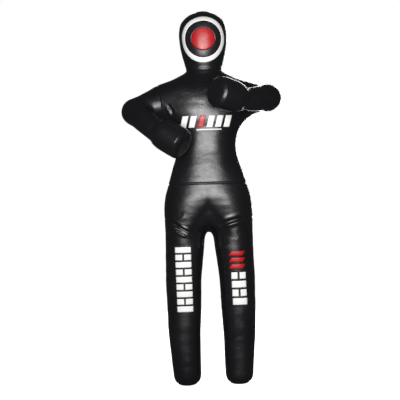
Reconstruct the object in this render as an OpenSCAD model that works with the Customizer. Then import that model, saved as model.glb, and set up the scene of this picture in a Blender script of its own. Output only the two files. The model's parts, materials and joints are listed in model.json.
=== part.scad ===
// Grappling dummy: a stuffed synthetic-leather figure that stands upright with
// bent arms and boxed fists. +Z is up and the figure faces -Y. The origin is
// on the floor, at the centre of the figure's bounding box.

/* [Head and neck] */
// Height of the crown above the floor
height = 1520; // [1500:5:1540]
// Largest radius of the hood
head_r = 97; // [92:1:100]
// Height of the widest part of the hood
head_wide_z = 1415; // [1405:1:1425]
// Radius of the neck at its seam
neck_r = 72; // [66:1:76]
// Height of the neck seam
neck_z = 1281; // [1276:1:1286]
// Radius of the red centre of the face target, along the surface
bullseye_r = 46.5; // [40:0.5:50]
// Inner radius of the white ring, along the surface
ring_in_r = 77; // [70:1:82]
// Outer radius of the white ring, along the surface
ring_out_r = 98; // [90:1:100]

/* [Trunk] */
// Half width of the chest at the armpits
chest_hw = 190; // [187:1:195]
// Half width at the narrowest part of the waist
waist_hw = 127; // [118:1:134]
// Half width of the hips
hip_hw = 183; // [178:1:188]
// Depth of the back behind the figure's middle, straight along the zip
back_d = 100; // [96:1:104]
// Height of the seam round the waist
waist_seam_z = 820; // [810:1:830]
// Height of the hip hinges, at the crotch
hip_z = 650; // [645:1:655]

/* [Legs] */
// Distance of each hip hinge from the middle
hip_x = 96; // [94:1:98]
// Radius at the top of the thigh
thigh_r = 87; // [84:1:88]
// Height of the knees
knee_z = 370; // [350:1:390]
// Distance of each knee and foot from the middle
knee_x = 110; // [106:1:114]
// Radius at the knee
knee_r = 72; // [68:1:74]
// Radius just above the rounded foot
ankle_r = 57; // [54:1:60]
// Radius of the rounded edge of the foot
foot_round = 12; // [8:1:14]

/* [Arms] */
// Height of the shoulder hinges
shoulder_z = 1165; // [1160:1:1170]
// Distance of the armhole planes from the middle
armhole_x = 185; // [183:1:186]
// Radius of the arm at the armhole
shoulder_r = 62; // [58:1:64]
// Radius of the arm at the elbow
elbow_r = 49; // [45:1:51]
// Radius of the wrist
wrist_r = 43; // [40:1:45]
// Largest radius of the fist
fist_r = 63; // [58:1:66]
// Length of the fist
fist_len = 150; // [140:1:155]

/* [Cover and zip] */
// Thickness of the synthetic leather
cover_t = 2.5; // [2:0.1:3]
// Gap left between the cover and the stuffing
fill_gap = 0.4; // [0.3:0.1:1]
// Height of the top of the zip
zip_top_z = 1212; // [1190:1:1212]
// Length of the zip
zip_len = 275; // [200:5:285]
// Distance between the teeth of one row
tooth_pitch = 5.5; // [5:0.5:8]

/* [Hidden] */
$fn = 48;

RIGHT = -1;
LEFT = 1;
FRONT = [0, -1, 0];
BACK = [0, 1, 0];
UP = [0, 0, 1];

far = 400;             // reaches past any one limb
slit = 4;              // half the gap between two covers on a hinge axis
play = 0.3;            // clearance round each gusset
crease = 0.1;          // half the gap between the two halves of a gusset
fill_inset = cover_t + fill_gap;
film_t = 0.8;          // thickness of the printed target
sole_t = 3;

leather = [0.055, 0.055, 0.06];
stuffing = [0.62, 0.6, 0.56];
zip_black = [0.1, 0.1, 0.11];
metal = [0.7, 0.7, 0.72];

// ---------- Vectors ----------

function unit(v) = v / norm(v);

// Smooth curve through a list of points, at t counted in points
function through(p, t) =
    let (i = min(floor(t), len(p) - 2), f = t - i)
    let (a = p[max(i - 1, 0)], b = p[i], c = p[i + 1], d = p[min(i + 2, len(p) - 1)])
    b + f * ((c - a) / 2 + f * ((2 * a - 5 * b + 4 * c - d) / 2 + f * (3 * b - a - 3 * c + d) / 2));

// ---------- Joints ----------
// A hinge is [pivot, inner direction, direction back along the parent,
// [inner, outer] half angles on the parent's side, the same on the child's side].
// The inner side closes as the joint bends.

function hinge(pivot, inner, parent, parent_angles, child_angles) =
    [pivot, inner, parent, parent_angles, child_angles];

neck_hinge = hinge([0, 0, neck_z + 9], FRONT, -UP, [24, 12], [18, 12]);
waist_hinge = hinge([0, 0, waist_seam_z], FRONT, -UP, [0, 0], [48, 18]);

function hip_hinge(side) =
    hinge([side * hip_x, 0, hip_z], FRONT, UP, [30, 9], [48, 9]);

function knee_hinge(side) =
    hinge([side * knee_x, 0, knee_z], BACK, UP, [47, 3], [47, 3]);

// A fabric tube bends at a hinge between two directions
function bend(pivot, into, out, inner_angle, outer_angle) =
    hinge(pivot, unit(out - into), unit(-into - out),
          [inner_angle, outer_angle], [inner_angle, outer_angle]);

module in_hinge_frame(h) {
    x = h[1];
    y = h[2];
    z = cross(x, y);
    multmatrix([
        [x.x, y.x, z.x, h[0].x],
        [x.y, y.y, z.y, h[0].y],
        [x.z, y.z, z.z, h[0].z]
    ]) children();
}

// The bow-tie shaped space that a joint bends in
module bend_space(h, grow) {
    c = slit + grow;
    up_in = far * tan(h[3][0]) + c;
    up_out = far * tan(h[3][1]) + c;
    down_in = far * tan(h[4][0]) + c;
    down_out = far * tan(h[4][1]) + c;
    in_hinge_frame(h)
        linear_extrude(2 * far, center = true)
            polygon([
                [far, up_in], [0, c], [-far, up_out],
                [-far, -down_out], [0, -c], [far, -down_in]
            ]);
}

// Half of space: the parent's side (1) or the child's side (-1) of a hinge,
// and a little past the hinge plane where over is given
module half_space(h, side, over = 0) {
    in_hinge_frame(h)
        translate([0, side * (far - over), 0])
            cube(2 * far, center = true);
}

module parent_part(h) {
    difference() {
        children();
        half_space(h, -1);
        bend_space(h, play);
    }
}

module child_part(h) {
    difference() {
        children();
        half_space(h, 1);
        bend_space(h, play);
    }
}

module gusset_part(h) {
    intersection() {
        children();
        bend_space(h, 0);
    }
}

// A gusset in two halves that meet at the crease: the parent's shell, then the child's
module creased_gusset(h) {
    gusset_part(h) difference() {
        children(0);
        half_space(h, -1, crease);
    }
    gusset_part(h) difference() {
        children(1);
        half_space(h, 1, crease);
    }
}

// ---------- Solids of revolution ----------

module along(from, direction) {
    d = unit(direction);
    translate(from)
        rotate([0, acos(d.z), atan2(d.y, d.x)])
            children();
}

// A closed outline round the axis from a list of [height, radius]
module turned(profile, inset = 0) {
    low = profile[0][0];
    high = profile[len(profile) - 1][0];
    rotate_extrude()
        polygon(concat(
            [[0, low]],
            [for (p = profile) [max(p[1] - inset, 0.1), p[0]]],
            [[0, high]]
        ));
}

// ---------- Head ----------

crown_h = height - head_wide_z;
chin_h = head_wide_z - neck_z;

function chin_radius(z) = neck_r + (head_r - neck_r) * (1 - pow((head_wide_z - z) / chin_h, 1.7));

function crown_radius(z, inset = 0) =
    (head_r - inset) * pow(1 - pow((z - head_wide_z) / (crown_h - inset), 2.5), 0.4);

chin_steps = 8;
crown_steps = 14;

// The hood, smaller all round by inset; open at the neck
module head_solid(inset) {
    rotate_extrude()
        polygon(concat(
            [[0, neck_z]],
            [for (i = [0 : chin_steps])
                let (z = neck_z + chin_h * i / chin_steps)
                [chin_radius(z) - inset, z]],
            [for (i = [1 : crown_steps])
                let (z = head_wide_z + (crown_h - inset) * sin(90 * i / crown_steps))
                [max(crown_radius(min(z, height - inset - 0.001), inset), 0.1), z]],
            [[0, height - inset]]
        ));
}

module head_shell() {
    difference() {
        head_solid(0);
        translate([0, 0, -0.01])
            head_solid(cover_t);
    }
}

module front_half() {
    translate([-far, -2 * far - play / 2, 0])
        cube([2 * far, 2 * far, 2 * height]);
}

module back_half() {
    translate([-far, play / 2, 0])
        cube([2 * far, 2 * far, 2 * height]);
}

module face_panel() {
    color(leather) child_part(neck_hinge) intersection() {
        head_shell();
        front_half();
    }
}

module head_back_panel() {
    color(leather) child_part(neck_hinge) intersection() {
        head_shell();
        back_half();
    }
}

module head_filling() {
    color(stuffing) child_part(neck_hinge) head_solid(fill_inset);
}

// Outline of a circle drawn on the face, as it is seen from the front
module face_outline(r) {
    wide = head_r * sin(r / head_r * 180 / PI);
    tall = 0.955 * r;
    polygon([for (i = [0 : 47]) [wide * cos(7.5 * i), tall * sin(7.5 * i)]]);
}

target_z = head_wide_z - 27;

module target_film(r_out, r_in) {
    intersection() {
        difference() {
            head_solid(-film_t - 0.1);
            head_solid(-0.1);
        }
        translate([0, 0, target_z])
            rotate([90, 0, 0])
                linear_extrude(far)
                    difference() {
                        face_outline(r_out);
                        if (r_in > 0) face_outline(r_in);
                    }
    }
}

module target_field() {
    color(zip_black) target_film(ring_in_r - 0.1, bullseye_r + 0.1);
}

module target_ring() {
    color("white") target_film(ring_out_r, ring_in_r);
}

module target_bullseye() {
    color("red") target_film(bullseye_r, 0);
}

// ---------- Trunk ----------
// Stations from the crotch to the neck: [height, half width, front depth, back depth]

trunk_stations = [
    [hip_z, hip_hw - 1, 98, 98],
    [700, hip_hw, 104, 106],
    [760, hip_hw - 6, 104, 108],
    [waist_seam_z, 164, 100, 104],
    [880, 146, 95, back_d],
    [930, 131, 91, back_d],
    [985, waist_hw, 92, back_d],
    [1035, 138, 97, back_d],
    [1075, 168, 102, back_d],
    [1110, chest_hw, 105, back_d],
    [1165, chest_hw, 104, back_d],
    [1205, chest_hw - 1, 98, back_d],
    [1223, 184, 92, back_d - 2],
    [1239, 152, 84, 94],
    [1255, 119, 77, 84],
    [1271, 86, 73, 75],
    [neck_z, neck_r, neck_r, neck_r]
];

ring_points = 40;
steps = 2;             // rings to each station
squareness = 2.2;      // 2 makes each section an ellipse

function rounded(c) = sign(c) * pow(abs(c), 2 / squareness);

function trunk_ring(s, inset) = [
    for (i = [0 : ring_points - 1])
        let (a = 360 * i / ring_points, deep = (sin(a) < 0 ? s[2] : s[3]) - inset)
        [(s[1] - inset) * rounded(cos(a)), deep * rounded(sin(a)), s[0]]
];

// The trunk, smaller all round by inset and longer by over at both ends
module trunk_solid(inset, over = 0) {
    n = ring_points;
    last = len(trunk_stations) - 1;
    rings = concat(
        over > 0 ? [trunk_stations[0] - [over, 0, 0, 0]] : [],
        [for (k = [0 : steps * last]) through(trunk_stations, k / steps)],
        over > 0 ? [trunk_stations[last] + [over, 0, 0, 0]] : []
    );
    spans = len(rings) - 1;
    points = [for (r = rings) each trunk_ring(r, inset)];
    sides = [
        for (k = [0 : spans - 1], i = [0 : n - 1])
            let (j = (i + 1) % n)
            each [
                [k * n + i, (k + 1) * n + j, k * n + j],
                [k * n + i, (k + 1) * n + i, (k + 1) * n + j]
            ]
    ];
    polyhedron(
        points,
        concat(sides, [[for (i = [0 : n - 1]) i]], [[for (i = [n - 1 : -1 : 0]) spans * n + i]]),
        convexity = 6
    );
}

module between_armholes(inset) {
    intersection() {
        children();
        translate([-armhole_x + inset, -far, 0])
            cube([2 * (armhole_x - inset), 2 * far, 2 * height]);
    }
}

// The trunk's cover, open at the neck, the crotch and both armholes
module trunk_shell() {
    difference() {
        between_armholes(0) trunk_solid(0);
        trunk_solid(cover_t, 1);
    }
}

module torso_shell() {
    parent_part(neck_hinge) child_part(waist_hinge) trunk_shell();
}

zip_slot = 8;          // half width of the opening that shows the teeth
zip_slot_depth = 20;
zip_bed = 22;          // half width of the flat bed that the tapes lie in
zip_bed_depth = 9;
zip_end = 8;           // how far the opening runs past each end of the teeth
zip_bottom_z = zip_top_z - zip_len;

module zip_opening(half_width, depth) {
    translate([-half_width, back_d - depth, zip_bottom_z - zip_end])
        cube([2 * half_width, far, zip_len + 2 * zip_end]);
}

module chest_panel() {
    color(leather) intersection() {
        torso_shell();
        front_half();
    }
}

module back_panel(side) {
    color(leather) difference() {
        intersection() {
            torso_shell();
            back_half();
            translate([side * (far + play / 2), 0, 0])
                cube([2 * far, 4 * far, 4 * height], center = true);
        }
        zip_opening(zip_slot, zip_slot_depth);
    }
}

module torso_filling() {
    color(stuffing) difference() {
        parent_part(neck_hinge) child_part(waist_hinge)
            between_armholes(cover_t) trunk_solid(fill_inset);
        zip_opening(zip_bed, zip_bed_depth);
    }
}

module waist_gusset() {
    color(leather) gusset_part(waist_hinge) trunk_shell();
}

module neck_gusset() {
    color(leather) gusset_part(neck_hinge) {
        difference() {
            union() {
                head_solid(0);
                trunk_solid(0);
            }
            head_solid(cover_t);
            trunk_solid(cover_t, 1);
        }
    }
}

module pelvis_shell() {
    parent_part(waist_hinge)
        parent_part(hip_hinge(0)) trunk_shell();
}

module pelvis_front_panel() {
    color(leather) intersection() {
        pelvis_shell();
        front_half();
    }
}

module pelvis_back_panel() {
    color(leather) intersection() {
        pelvis_shell();
        back_half();
    }
}

module pelvis_filling() {
    color(stuffing) parent_part(waist_hinge) parent_part(hip_hinge(0)) trunk_solid(fill_inset);
}

// ---------- Zip ----------

tape_y = back_d - 5.4;
tape_t = 0.8;
tape_w = 16;
tape_x = 10.2;          // middle of each tape
tooth_h = 2.6;
tooth_w = 2.8;
tooth_x = 3.4;          // middle of each row of teeth
tooth_y = tape_y + tape_t;
teeth_top_z = zip_top_z - 6;
tooth_count = floor((zip_len - 12) / tooth_pitch);
slider_h = 17;
slider_z = teeth_top_z - slider_h;
plate_y = tooth_y + tooth_h + 0.4;
plate_t = 1.6;
pull_y = plate_y + plate_t + 2.2;
pull_pin_z = slider_z + 11;

module zip_tape(side) {
    color(zip_black)
        translate([side * tape_x - tape_w / 2, tape_y, zip_bottom_z - zip_end / 2])
            cube([tape_w, tape_t, zip_len + zip_end]);
}

module zip_teeth(side) {
    color(metal)
        for (i = [0 : tooth_count - 1])
            translate([side * tooth_x - tooth_w / 2, tooth_y, zip_bottom_z + 6 + i * tooth_pitch])
                cube([tooth_w, tooth_h, 0.6 * tooth_pitch]);
}

module zip_stops() {
    color(metal) {
        for (side = [RIGHT, LEFT])
            translate([side * tooth_x - tooth_w / 2, tooth_y, zip_top_z - 4])
                cube([tooth_w, tooth_h, 6]);
        translate([-5, tooth_y, zip_bottom_z - 3])
            cube([10, tooth_h, 7]);
    }
}

module zip_slider() {
    color(metal) {
        translate([-6.5, plate_y, slider_z])
            cube([13, plate_t, slider_h]);
        translate([-1.5, tape_y - 2.2, slider_z + 8])
            cube([3, plate_y - tape_y + 2.4, slider_h - 8]);
        translate([-6.5, tape_y - 2.6, slider_z])
            cube([13, 2.1, slider_h]);
        for (side = [RIGHT, LEFT])
            translate([side * 3.6 - 0.8, plate_y + plate_t - 0.1, pull_pin_z - 1.5])
                cube([1.6, 3.9, 3]);
        translate([0, pull_y, pull_pin_z])
            rotate([0, 90, 0])
                cylinder(r = 0.9, h = 7, center = true, $fn = 24);
    }
}

module zip_pull() {
    color(metal) difference() {
        union() {
            translate([0, pull_y, pull_pin_z])
                rotate([0, 90, 0])
                    cylinder(r = 2, h = 5, center = true, $fn = 24);
            translate([-2.5, pull_y - 0.8, pull_pin_z - 8])
                cube([5, 1.6, 8]);
            translate([-4.5, pull_y - 0.8, pull_pin_z - 38])
                cube([9, 1.6, 31]);
        }
        translate([0, pull_y, pull_pin_z])
            rotate([0, 90, 0])
                cylinder(r = 1.1, h = 9, center = true, $fn = 24);
        translate([0, pull_y, pull_pin_z - 33])
            rotate([90, 0, 0])
                cylinder(r = 2, h = 9, center = true, $fn = 24);
    }
}

// ---------- Arms ----------
// The joints of each arm, in the pose that the arms are sewn in

function shoulder(side) = [side * 175, 0, shoulder_z];
function elbow(side) = side == RIGHT ? [-287, -30, 1122] : [249, -96, 1155];
function wrist(side) = side == RIGHT ? [-206, -135, 1042] : [156, -195, 1140];
function fist_way(side) = side == RIGHT ? unit([0.78, -0.38, -0.5]) : unit([-0.78, -0.6, 0.15]);

function elbow_hinge(side) =
    bend(elbow(side), unit(elbow(side) - shoulder(side)), unit(wrist(side) - elbow(side)), 8, 23);

function wrist_hinge(side) =
    bend(wrist(side), unit(wrist(side) - elbow(side)), fist_way(side), 13, 13);

round_steps = 8;
arm_lead = 70;         // how far an arm's solid starts inside the trunk
wrist_straight = 14;   // straight length of sleeve before the wrist

// A tapered tube with one domed end, which fills the bend of a limb
module domed_limb(from, to, r_from, r_to, lead, inset) {
    length = norm(to - from);
    along(from, to - from)
        rotate_extrude()
            polygon(concat(
                [[0, -lead], [r_from - inset, -lead]],
                [for (i = [0 : round_steps])
                    let (a = 90 * i / round_steps)
                    [max((r_to - inset) * cos(a), 0), length + (r_to - inset) * sin(a)]]
            ));
}

module upper_arm_solid(side, inset) {
    domed_limb(shoulder(side), elbow(side), shoulder_r, elbow_r, arm_lead, inset);
}

forearm_r = elbow_r + 2;

// Domed at both ends: at the elbow and at the wrist
module forearm_solid(side, inset) {
    from = elbow(side);
    to = wrist(side);
    length = norm(to - from);
    e = elbow_r - inset;
    w = wrist_r - inset;
    along(from, to - from)
        rotate_extrude()
            polygon(concat(
                [for (i = [0 : round_steps])
                    let (a = 90 - 90 * i / round_steps)
                    [e * cos(a), -e * sin(a)]],
                [[forearm_r - inset, 0.4 * length], [w, length - wrist_straight]],
                [for (i = [0 : round_steps])
                    let (a = 90 * i / round_steps)
                    [w * cos(a), length + w * sin(a)]]
            ));
}

// How far the fist has swelled from the wrist at a share of its length
fist_shape = [[0.1, 0], [0.22, 0.62], [0.35, 0.9], [0.5, 1], [0.75, 1], [0.92, 0.92], [1, 0.7]];
end_panel_t = 3;
fist_end_r = wrist_r + 0.7 * (fist_r - wrist_r);
fist_body = fist_len - end_panel_t;

module fist_solid(side, inset, shorten) {
    w = wrist_r - inset;
    along(wrist(side), fist_way(side))
        rotate_extrude()
            polygon(concat(
                [for (i = [0 : round_steps - 1])
                    let (a = 90 - 90 * i / round_steps)
                    [w * cos(a), -w * sin(a)]],
                [for (s = fist_shape)
                    [w + s[1] * (fist_r - wrist_r), s[0] * fist_body - (s[0] == 1 ? shorten : 0)]],
                [[0, fist_body - shorten]]
            ));
}

module outside_armhole(side, inset) {
    intersection() {
        children();
        translate([side * (armhole_x + 1 + inset + far), 0, 0])
            cube([2 * far, 4 * far, 4 * height], center = true);
    }
}

module upper_arm_shell(side) {
    difference() {
        outside_armhole(side, 0) upper_arm_solid(side, 0);
        upper_arm_solid(side, cover_t);
    }
}

module forearm_shell(side) {
    difference() {
        forearm_solid(side, 0);
        forearm_solid(side, cover_t);
    }
}

module fist_shell(side) {
    difference() {
        fist_solid(side, 0, 0);
        fist_solid(side, cover_t, 0);
        along(wrist(side), fist_way(side))
            translate([0, 0, fist_body - 10])
                cylinder(r = fist_end_r - cover_t, h = 20);
    }
}

module upper_arm_sleeve(side) {
    color(leather) parent_part(elbow_hinge(side)) upper_arm_shell(side);
}

module upper_arm_filling(side) {
    color(stuffing) parent_part(elbow_hinge(side))
        outside_armhole(side, 2) upper_arm_solid(side, fill_inset);
}

module elbow_gusset(side) {
    color(leather) creased_gusset(elbow_hinge(side)) {
        upper_arm_shell(side);
        forearm_shell(side);
    }
}

module forearm_sleeve(side) {
    color(leather) child_part(elbow_hinge(side)) parent_part(wrist_hinge(side)) forearm_shell(side);
}

module forearm_filling(side) {
    color(stuffing) child_part(elbow_hinge(side)) parent_part(wrist_hinge(side))
        forearm_solid(side, fill_inset);
}

module wrist_gusset(side) {
    color(leather) creased_gusset(wrist_hinge(side)) {
        forearm_shell(side);
        fist_shell(side);
    }
}

module hand_cover(side) {
    color(leather) child_part(wrist_hinge(side)) fist_shell(side);
}

module hand_filling(side) {
    color(stuffing) child_part(wrist_hinge(side)) fist_solid(side, fill_inset, 0.5);
}

module hand_end_panel(side) {
    color(leather)
        along(wrist(side) + (fist_body + 0.1) * fist_way(side), fist_way(side))
            cylinder(r1 = fist_end_r, r2 = fist_end_r - 4, h = end_panel_t);
}

// ---------- Legs ----------

function hip(side) = [side * hip_x, 0, hip_z];
function knee(side) = [side * knee_x, 0, knee_z];

module thigh_solid(side, inset) {
    length = norm(hip(side) - knee(side));
    intersection() {
        along(knee(side), hip(side) - knee(side))
            turned([[-20, knee_r], [0, knee_r], [0.6 * length, 82], [length + 20, thigh_r]], inset);
        translate([side * (far + 1), 0, 0])
            cube([2 * far, 4 * far, 4 * height], center = true);
    }
}

module shin_solid(side, inset) {
    translate([side * knee_x, 0, 0])
        turned(concat(
            [for (i = [0 : round_steps])
                let (a = -90 + 90 * i / round_steps)
                [foot_round * (1 + sin(a)), ankle_r - foot_round * (1 - cos(a))]],
            [[190, 65], [knee_z + 20, knee_r + 1]]
        ), inset);
}

module thigh_shell(side) {
    difference() {
        thigh_solid(side, 0);
        thigh_solid(side, cover_t);
    }
}

module shin_shell(side) {
    difference() {
        shin_solid(side, 0);
        shin_solid(side, cover_t);
    }
}

module thigh_part(side) {
    child_part(hip_hinge(side)) parent_part(knee_hinge(side)) children();
}

module thigh_cover(side) {
    color(leather) thigh_part(side) thigh_shell(side);
}

module thigh_filling(side) {
    color(stuffing) thigh_part(side) thigh_solid(side, fill_inset);
}

module hip_gusset(side) {
    color(leather) gusset_part(hip_hinge(side)) {
        difference() {
            thigh_shell(side);
            half_space(hip_hinge(side), 1);
        }
        intersection() {
            trunk_shell();
            half_space(hip_hinge(side), 1);
            translate([side * (far + 1), 0, 0])
                cube([2 * far, 4 * far, 4 * height], center = true);
        }
    }
}

module knee_gusset(side) {
    color(leather) creased_gusset(knee_hinge(side)) {
        thigh_shell(side);
        shin_shell(side);
    }
}

module shin_cover(side) {
    color(leather) child_part(knee_hinge(side)) shin_shell(side);
}

module shin_filling(side) {
    color(stuffing) child_part(knee_hinge(side))
        intersection() {
            shin_solid(side, fill_inset);
            translate([0, 0, far + sole_t + fill_gap])
                cube(2 * far, center = true);
        }
}

module sole(side) {
    color(leather)
        translate([side * knee_x, 0, 0])
            cylinder(r = ankle_r - foot_round - cover_t - 0.2, h = sole_t);
}

// ---------- The figure ----------

// From the floor between the feet to the middle of the bounding box
low_x = elbow(RIGHT).x - elbow_r;
high_x = elbow(LEFT).x + elbow_r;
low_y = wrist(LEFT).y + fist_body * fist_way(LEFT).y - fist_end_r * sqrt(1 - pow(fist_way(LEFT).y, 2));
high_y = max([for (s = trunk_stations) s[3]]);
to_middle = [-(low_x + high_x) / 2, -(low_y + high_y) / 2, 0];

module place() {
    translate(to_middle) children();
}

place() face_panel();
place() head_back_panel();
place() head_filling();
place() target_field();
place() target_ring();
place() target_bullseye();
place() neck_gusset();
place() chest_panel();
place() back_panel(LEFT);  // back_panel_left
place() back_panel(RIGHT);  // back_panel_right
place() torso_filling();
place() waist_gusset();
place() zip_tape(LEFT);  // zip_tape_left
place() zip_tape(RIGHT);  // zip_tape_right
place() zip_teeth(LEFT);  // zip_teeth_left
place() zip_teeth(RIGHT);  // zip_teeth_right
place() zip_stops();
place() zip_slider();
place() zip_pull();
place() pelvis_front_panel();
place() pelvis_back_panel();
place() pelvis_filling();
place() upper_arm_sleeve(RIGHT);  // right_upper_arm_sleeve
place() upper_arm_filling(RIGHT);  // right_upper_arm_filling
place() elbow_gusset(RIGHT);  // right_elbow_gusset
place() forearm_sleeve(RIGHT);  // right_forearm_sleeve
place() forearm_filling(RIGHT);  // right_forearm_filling
place() wrist_gusset(RIGHT);  // right_wrist_gusset
place() hand_cover(RIGHT);  // right_hand_cover
place() hand_end_panel(RIGHT);  // right_hand_end_panel
place() hand_filling(RIGHT);  // right_hand_filling
place() upper_arm_sleeve(LEFT);  // left_upper_arm_sleeve
place() upper_arm_filling(LEFT);  // left_upper_arm_filling
place() elbow_gusset(LEFT);  // left_elbow_gusset
place() forearm_sleeve(LEFT);  // left_forearm_sleeve
place() forearm_filling(LEFT);  // left_forearm_filling
place() wrist_gusset(LEFT);  // left_wrist_gusset
place() hand_cover(LEFT);  // left_hand_cover
place() hand_end_panel(LEFT);  // left_hand_end_panel
place() hand_filling(LEFT);  // left_hand_filling
place() hip_gusset(RIGHT);  // right_hip_gusset
place() thigh_cover(RIGHT);  // right_thigh_cover
place() thigh_filling(RIGHT);  // right_thigh_filling
place() knee_gusset(RIGHT);  // right_knee_gusset
place() shin_cover(RIGHT);  // right_shin_cover
place() shin_filling(RIGHT);  // right_shin_filling
place() sole(RIGHT);  // right_sole
place() hip_gusset(LEFT);  // left_hip_gusset
place() thigh_cover(LEFT);  // left_thigh_cover
place() thigh_filling(LEFT);  // left_thigh_filling
place() knee_gusset(LEFT);  // left_knee_gusset
place() shin_cover(LEFT);  // left_shin_cover
place() shin_filling(LEFT);  // left_shin_filling
place() sole(LEFT);  // left_sole
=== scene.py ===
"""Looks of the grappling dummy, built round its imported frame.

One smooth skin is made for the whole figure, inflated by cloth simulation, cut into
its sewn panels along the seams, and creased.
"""
import json
import math

import bmesh
import bpy
import numpy as np
from mathutils import Matrix, Vector, noise
from mathutils.bvhtree import BVHTree
from mathutils.kdtree import KDTree


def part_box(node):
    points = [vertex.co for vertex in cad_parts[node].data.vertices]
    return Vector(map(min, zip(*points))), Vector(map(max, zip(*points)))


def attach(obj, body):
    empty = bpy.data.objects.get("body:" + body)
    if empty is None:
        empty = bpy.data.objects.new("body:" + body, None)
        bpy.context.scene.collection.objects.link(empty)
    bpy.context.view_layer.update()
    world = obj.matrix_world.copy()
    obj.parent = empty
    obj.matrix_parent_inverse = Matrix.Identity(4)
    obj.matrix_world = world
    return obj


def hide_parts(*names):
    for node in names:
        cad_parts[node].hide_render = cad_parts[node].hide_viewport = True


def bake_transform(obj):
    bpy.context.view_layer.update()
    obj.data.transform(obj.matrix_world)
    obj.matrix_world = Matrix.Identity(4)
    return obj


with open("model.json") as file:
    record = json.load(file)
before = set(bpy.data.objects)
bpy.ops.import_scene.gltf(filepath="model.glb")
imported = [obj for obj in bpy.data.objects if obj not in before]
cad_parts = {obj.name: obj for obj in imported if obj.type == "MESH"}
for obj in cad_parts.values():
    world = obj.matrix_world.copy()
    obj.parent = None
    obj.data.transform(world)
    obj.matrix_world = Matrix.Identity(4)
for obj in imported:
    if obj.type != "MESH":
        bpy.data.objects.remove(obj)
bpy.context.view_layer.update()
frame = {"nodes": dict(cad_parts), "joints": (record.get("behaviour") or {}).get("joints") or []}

# --- The frame's own measures, in metres ---
# MID is the floor point under the figure's middle. Everything below is written
# relative to it, with the figure facing -Y, and moved there at the end.

JOINTS = {j["name"]: j for j in frame["joints"]}
WAIST = Vector(JOINTS["waist_bend"]["pos_m"])
MID = Vector((WAIST.x, WAIST.y, 0))
RIGHT = -1
LEFT = 1
SIDES = {RIGHT: "right", LEFT: "left"}


def joint_at(name):
    return Vector(JOINTS[name]["pos_m"]) - MID


def node_middle(name):
    low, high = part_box(name)
    return (low + high) / 2 - MID


WAIST_Z = WAIST.z
NECK_Z = joint_at("neck_nod").z - 0.012  # the neck's seam is just under the joint
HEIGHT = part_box("head_back_panel")[1].z
SHOULDER = {s: joint_at(f"{n}_shoulder_swing") for s, n in SIDES.items()}
ELBOW = {s: joint_at(f"{n}_elbow_bend") for s, n in SIDES.items()}
WRIST = {s: joint_at(f"{n}_wrist_bend") for s, n in SIDES.items()}
FIST_END = {s: node_middle(f"{n}_hand_end_panel") for s, n in SIDES.items()}
ZIP_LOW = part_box("zip_tape_left")[0].z
ZIP_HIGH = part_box("zip_tape_left")[1].z

# --- Shape of the stuffed figure ---

VOXEL = 0.006
INSET = 0.0008  # the skin starts this much smaller and swells to size

# Lengths over which two shapes run into one another, or an end is rounded
LEG_TO_TRUNK = 0.035
HEAD_TO_TRUNK = 0.006
ARM_TO_TRUNK = 0.048
FOREARM_TO_ARM = 0.020
FIST_TO_FOREARM = 0.008
FOOT_ROUND = 0.045
THIGH_TOP_ROUND = 0.08
FIST_RIM_ROUND = 0.024
FIST_ROOT_ROUND = 0.02
SEAT_ROUND = 0.05
TRUNK_TOP_ROUND = 0.01
CROWN_ROUND = 0.012
NECK_END_ROUND = 0.01

SEAT_RISE = 0.03  # the trunk ends this far above its lowest row
CROWN_RISE = 0.004  # the crown stands this far above the CAD's
CROWN_R = 0.084  # at this radius the flat dome of the crown
CROWN_FALL = 0.034  # lies this far below its top
TRUNK_SQUARENESS = 2.2  # 2 is an ellipse, more is boxier
HEAD_SWELL = 0.0015  # the hood is this much larger than its table
FIST_BULGE = 0.0025  # its end stands this far past the end panel's middle
FIST_ROOT = 0.015  # it starts this far before the wrist

# height, half width, front depth, back depth
TRUNK = np.array([
    [0.600, 0.150, 0.050, 0.080], [0.640, 0.160, 0.062, 0.088],
    [0.700, 0.174, 0.088, 0.100], [0.760, 0.176, 0.101, 0.106],
    [0.820, 0.164, 0.100, 0.104], [0.880, 0.146, 0.096, 0.100],
    [0.930, 0.131, 0.092, 0.099], [0.985, 0.127, 0.090, 0.099],
    [1.035, 0.138, 0.094, 0.099], [1.075, 0.163, 0.101, 0.099],
    [1.110, 0.184, 0.105, 0.099], [1.165, 0.188, 0.104, 0.099],
    [1.205, 0.186, 0.098, 0.098], [1.223, 0.177, 0.092, 0.096],
    [1.239, 0.146, 0.085, 0.092], [1.255, 0.113, 0.078, 0.085],
    [1.271, 0.083, 0.073, 0.077], [1.290, 0.071, 0.070, 0.072],
])

# height, radius
HEAD = np.array([
    [1.262, 0.071], [1.289, 0.0725], [1.304, 0.0770], [1.320, 0.0810], [1.336, 0.0855],
    [1.368, 0.0920], [1.401, 0.0965], [1.433, 0.0970], [1.449, 0.0955], [1.465, 0.0920],
    [1.482, 0.0850], [1.498, 0.0710], [1.509, 0.0540], [1.516, 0.0340],
])

# height, distance of the leg's middle from the figure's middle, radius
LEG = np.array([
    [0.000, 0.106, 0.0560], [0.038, 0.106, 0.0575],
    [0.110, 0.109, 0.0610], [0.189, 0.112, 0.0650],
    [0.270, 0.112, 0.0690], [0.349, 0.111, 0.0715],
    [0.430, 0.110, 0.0740], [0.551, 0.102, 0.0815],
    [0.624, 0.096, 0.0860], [0.680, 0.091, 0.0880],
    [0.740, 0.084, 0.0860], [0.800, 0.076, 0.0800],
])

ARM_RADII = {RIGHT: [0.061, 0.058, 0.051], LEFT: [0.062, 0.059, 0.051]}
FOREARM_RADII = [0.050, 0.049, 0.044]
# share of the fist's length, radius
FIST = np.array([
    [-0.10, 0.042], [0.06, 0.044], [0.20, 0.055], [0.35, 0.061], [0.55, 0.063],
    [0.80, 0.063], [1.00, 0.061], [1.10, 0.058],
])


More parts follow.
